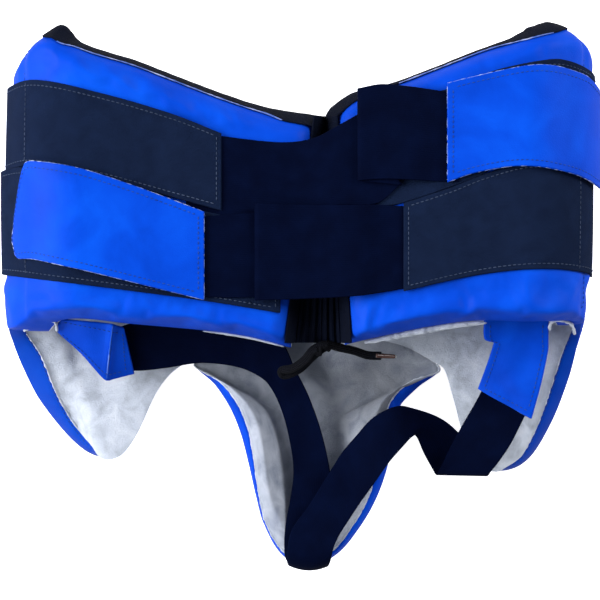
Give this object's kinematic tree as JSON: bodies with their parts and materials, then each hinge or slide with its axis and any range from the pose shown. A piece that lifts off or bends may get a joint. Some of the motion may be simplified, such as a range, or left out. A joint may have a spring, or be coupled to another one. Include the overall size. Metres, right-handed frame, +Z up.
{
  "type": "groin protector",
  "caption": "Padded leather groin protector for boxing, lying on its front: hinged belt wings close over the back with elastic hook-and-loop straps, leg straps run to a hard cup.",
  "frame": {"origin": "on the floor, at the middle of the front panel's flat outer face, on the line between the two side seams", "axes": "+X across the hips to the right in the picture, +Y towards the waist edge, +Z up out of the face that rests on the floor"},
  "size_m": [0.391, 0.3653, 0.1019],
  "materials": {
    "blue_leather": "soft grained blue leather, half gloss",
    "suede_lining": "brushed pale grey suede",
    "black_tape": "woven black tape",
    "loop_fabric": "black loop pile",
    "hook_fabric": "black hook tape",
    "black_elastic": "ribbed woven black elastic",
    "lace_cord": "braided black lace",
    "aglet_plastic": "clear brown film",
    "foam": "open cell foam",
    "cup_plastic": "moulded polyethylene"
  },
  "bodies": {
    "front": {"front_cover": "blue_leather", "front_foam": "foam", "front_lining": "suede_lining", "front_binding": "black_tape", "cup_cover": "blue_leather", "cup_shell": "cup_plastic", "cup_padding": "foam", "cup_lining": "suede_lining", "left_leg_elastic": "black_elastic", "right_leg_elastic": "black_elastic"},
    "left_wing": {"left_wing_cover": "blue_leather", "left_wing_foam": "foam", "left_wing_lining": "suede_lining", "left_wing_binding": "black_tape", "left_upper_strip": "loop_fabric", "left_lower_strip": "loop_fabric", "upper_elastic": "black_elastic", "left_leg_tab": "blue_leather", "left_lace_loop": "black_tape", "left_back_flap": "black_elastic"},
    "right_wing": {"right_wing_cover": "blue_leather", "right_wing_foam": "foam", "right_wing_lining": "suede_lining", "right_wing_binding": "black_tape", "right_upper_strip": "loop_fabric", "right_lower_strip": "loop_fabric", "lower_elastic": "black_elastic", "right_leg_tab": "blue_leather", "lace": "lace_cord", "lace_knot": "lace_cord", "lace_aglet": "aglet_plastic", "right_lace_loop": "black_tape", "right_back_flap": "black_elastic"},
    "upper_tab": {"upper_tab": "blue_leather", "upper_tab_hook": "hook_fabric"},
    "lower_tab": {"lower_tab": "blue_leather", "lower_tab_hook": "hook_fabric"}
  },
  "joints": [
    {"name": "left_wing_fold", "type": "hinge", "parent": "front", "child": "left_wing", "pos_m": [-0.188, 0.07, 0.048], "axis": [0, -1, 0], "range_deg": [0, 90], "deforming": ["left_leg_elastic"]},
    {"name": "right_wing_fold", "type": "hinge", "parent": "front", "child": "right_wing", "pos_m": [0.188, 0.07, 0.048], "axis": [0, 1, 0], "range_deg": [0, 90], "deforming": ["right_leg_elastic"]},
    {"name": "upper_tab_peel", "type": "hinge", "parent": "left_wing", "child": "upper_tab", "pos_m": [0.093, 0.11, 0.0977], "axis": [0.03, -0.9996, 0], "range_deg": [0, 120]},
    {"name": "lower_tab_peel", "type": "hinge", "parent": "right_wing", "child": "lower_tab", "pos_m": [-0.064, 0.03, 0.0953], "axis": [0.03, 0.9996, 0], "range_deg": [0, 120]}
  ],
  "couplings": [
    {"joint": "right_wing_fold", "follows": "left_wing_fold", "ratio": 1}
  ]
}
